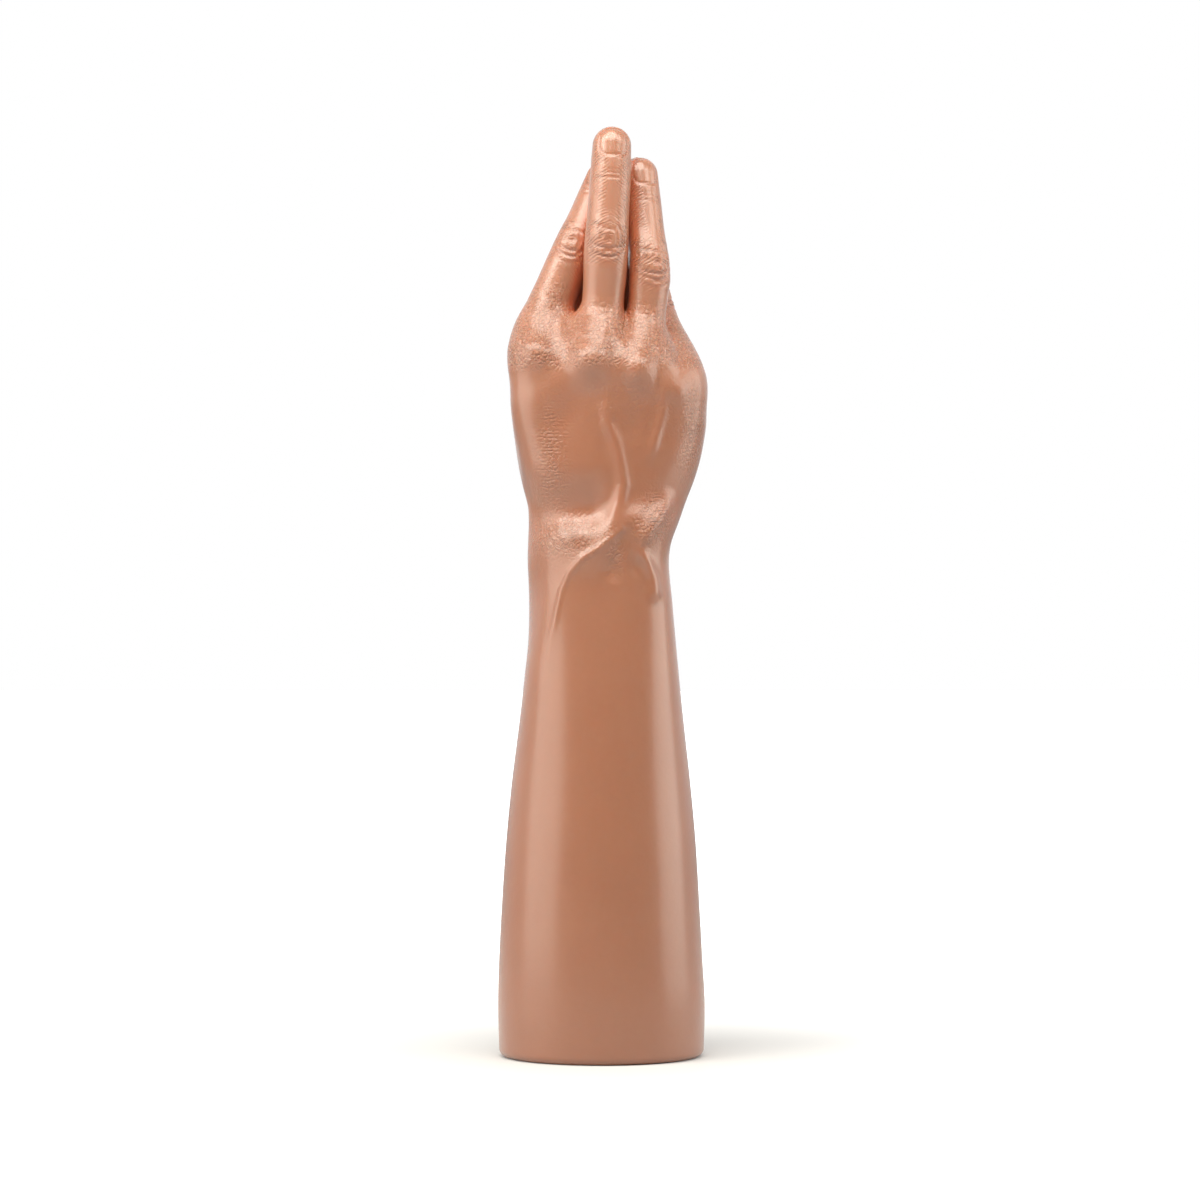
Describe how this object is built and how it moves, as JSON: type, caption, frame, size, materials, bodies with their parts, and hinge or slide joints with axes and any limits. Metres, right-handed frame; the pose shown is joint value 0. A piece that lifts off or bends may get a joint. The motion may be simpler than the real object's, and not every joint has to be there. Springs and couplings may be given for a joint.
{
  "type": "prosthetic hand",
  "caption": "Passive cosmetic prosthetic hand and forearm with a lifelike skin, fingers drawn together to a point, a friction wrist inside and an open socket at the base.",
  "frame": {"origin": "middle of the base's footprint, on the plane the part stands on", "axes": "+Z from the base to the fingertips, -Y out of the back of the hand, +X towards the little finger"},
  "size_m": [0.0806, 0.072, 0.36],
  "materials": {
    "skin": "satin",
    "laminate": "satin",
    "liner": "satin",
    "aluminium": "satin",
    "acetal": "satin",
    "steel": "satin",
    "wire": "satin",
    "foam": "matte"
  },
  "bodies": {
    "forearm": {"forearm_cover": "skin", "forearm_frame": "laminate", "inner_socket": "liner", "wrist_ring": "aluminium", "friction_bush": "acetal", "friction_set_screws": "steel"},
    "hand": {"hand_glove": "skin", "wrist_rotor": "steel", "rotor_circlip": "steel", "hand_plate": "aluminium", "wrist_stud": "steel", "armature_bracket": "aluminium", "stud_washer": "steel", "stud_nut": "steel", "wire_clamp": "aluminium", "clamp_screws": "steel", "thumb_wire": "wire", "index_wire": "wire", "middle_wire": "wire", "ring_wire": "wire", "little_wire": "wire", "foam_core": "foam"}
  },
  "joints": [
    {"name": "wrist_rotation", "type": "hinge", "parent": "forearm", "child": "hand", "pos_m": [-0.001, 0, 0.196], "axis": [0, 0, 1], "range_deg": [-35, 35]}
  ]
}
